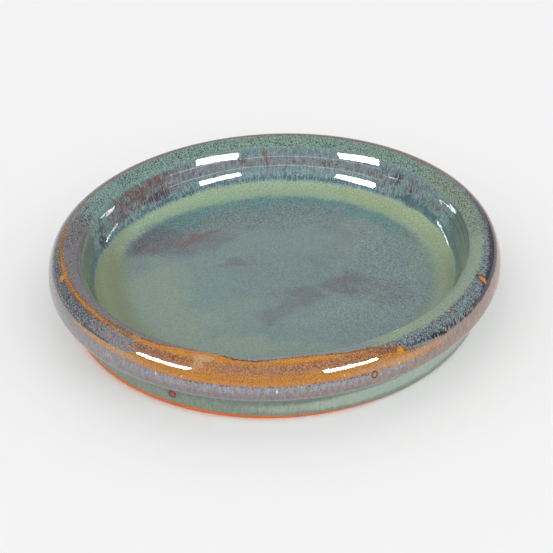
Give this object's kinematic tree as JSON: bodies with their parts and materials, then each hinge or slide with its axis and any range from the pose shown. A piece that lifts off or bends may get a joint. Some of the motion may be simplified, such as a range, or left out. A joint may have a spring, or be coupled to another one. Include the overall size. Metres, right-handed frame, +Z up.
{
  "type": "plant saucer",
  "caption": "Round glazed plant saucer: shallow flat well, thick rolled rim standing out over a plain foot wall, unglazed foot ring.",
  "frame": {"origin": "centre of the foot ring, on the surface the saucer stands on", "axes": "+Z up along the saucer's axis, out of the well; +X and +Y are free, since the saucer is round"},
  "size_m": [0.26, 0.26, 0.0395],
  "materials": {
    "fired_clay": "matte, unglazed",
    "green_glaze": "glossy, mottled green and blue-grey",
    "rim_glaze": "glossy, streaked amber, lavender and grey"
  },
  "bodies": {
    "root": {"clay_body": "fired_clay", "well_glaze": "green_glaze", "wall_glaze": "green_glaze", "rim_glaze": "rim_glaze"}
  },
  "joints": []
}
